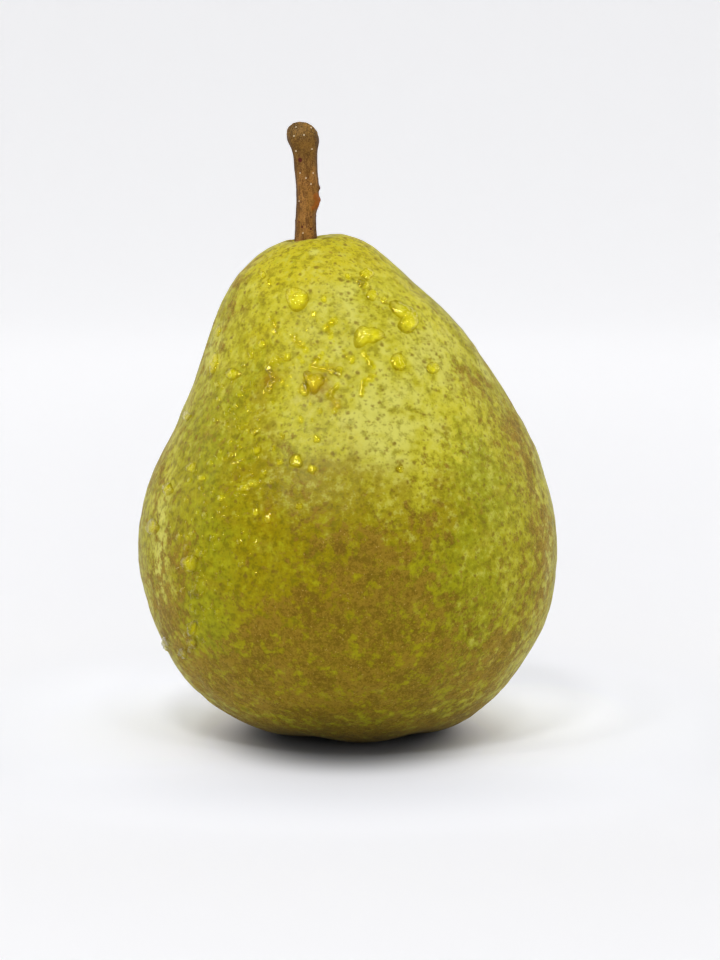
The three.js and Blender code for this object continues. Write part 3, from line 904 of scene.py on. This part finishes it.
def lay_drop(ball, x, y, reach, dome, rim_shade=1.0):
    """A copy of the ball, spread over the skin as far, in pixels, as the reach goes in each direction."""
    middle, _ = spot_on_skin(x, y, AIM)
    shape = corners(ball)
    spread = np.hypot(shape[:, 0], shape[:, 1])
    turns = np.arctan2(-shape[:, 1], shape[:, 0])
    reaches = reach(turns)
    laid = np.empty_like(shape)
    for index, (out, turn, height) in enumerate(zip(spread * reaches, turns, shape[:, 2])):
        place, facing = spot_on_skin(x + out * math.cos(turn), y + out * math.sin(turn), middle)
        lower_side = 1 + SAG * spread[index] * math.sin(turn)
        quiver = 1 + QUIVER * noise.noise(place / QUIVER_SIZE)
        if height > 0:
            rise = dome * lower_side * quiver * height**DOME_POWER
        else:
            rise = SUNK * (height - SUNK_EDGE)
        laid[index] = place + facing * rise
    drop = moved_copy(ball, "drop", laid)
    # The painted shade on the drop's rim, fullest at its edge.
    paint_layer(drop, "rim_shade", rim_shade * smooth(spread, *RIM_STEPS))
    return drop


def oval(half_width, half_height, turn, ripples):
    """The reach of a slightly uneven oval."""
    def reach(turns):
        away = turns - math.radians(turn)
        even = 1 / np.hypot(np.cos(away) / half_width, np.sin(away) / half_height)
        return even * (1 + sum(size * np.cos(count * turns + start) for count, size, start in ripples))
    return reach


DROP_MIDDLE = paint(255, 253, 150)
# A painted shade: this darker tint at a drop's rim stands in for the dark edge that its bending of light
# gives it.
DROP_RIM_SHADE = paint(160, 146, 22)
DROP_GLINT = paint(255, 236, 110)
SEEN_THROUGH = paint(255, 252, 170)
SEEN_SHARE = 0.33  # how much of the skin is seen straight through a drop, without its bending of light


def water_material():
    material, nodes = new_material("water")
    place = nodes.node("TexCoord", {}, {}, "Object")
    # The tint darkens towards the rim: a painted shade.
    tint = painted(nodes, "rim_shade").mix(DROP_MIDDLE, DROP_RIM_SHADE)
    swell = noise_at(nodes, place, 0.9 * MM, 1.0, 0.5, 0.2)
    bump = nodes.node("Bump", {}, {"Strength": 0.7, "Distance": 0.25 * MM, "Height": swell})
    sockets = {"Base Color": tint, "Roughness": 0.02, "IOR": 1.48, "Transmission Weight": 1.0}
    glint = {"Specular Tint": DROP_GLINT, "Specular IOR Level": 0.8, "Coat Weight": 0.12, "Coat IOR": 1.6}
    glassy = nodes.node("BsdfPrincipled", {}, {**sockets, **glint, "Normal": bump})
    clear = nodes.node("BsdfTransparent", {}, {"Color": SEEN_THROUGH})
    mixed = nodes.node("MixShader", {}, {0: SEEN_SHARE, 1: glassy, 2: clear})
    nodes.node("OutputMaterial", {}, {"Surface": mixed})
    return material


chance = random.Random(12)
bpy.ops.mesh.primitive_uv_sphere_add(segments=32, ring_count=20, radius=1.0)
ball = bpy.context.object
drops = []
for x, y, half_width, half_height, turn in ROUND_DROPS:
    ripples = [(count, chance.uniform(0, RIPPLE), chance.uniform(0, math.tau)) for count in (2, 3, 4)]
    dome = DOME * min(half_width, half_height) * PIXEL
    drops.append(lay_drop(ball, x, y, oval(half_width, half_height, turn, ripples), dome))
for x, y, reaches in LOBED_DROPS:
    dome = DOME * sum(reaches) / len(reaches) * PIXEL
    drops.append(lay_drop(ball, x, y, lambda turns, given=reaches: reach_at(turns, given), dome))
bpy.data.objects.remove(ball)
bpy.ops.mesh.primitive_uv_sphere_add(segments=12, ring_count=8, radius=1.0)
ball = bpy.context.object
for x, y, size, depth in fine_spots:
    half_height = size * chance.uniform(*FINE_HEIGHTS)
    ripples = [(2, chance.uniform(0, FINE_RIPPLE), chance.uniform(0, math.tau))]
    drops.append(lay_drop(ball, x, y, oval(size, half_height, 0, ripples), DOME * size * PIXEL, 1 - depth))
bpy.data.objects.remove(ball)
water = joined(drops, "water_drops")
water.data.materials.append(water_material())
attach(water, "root")
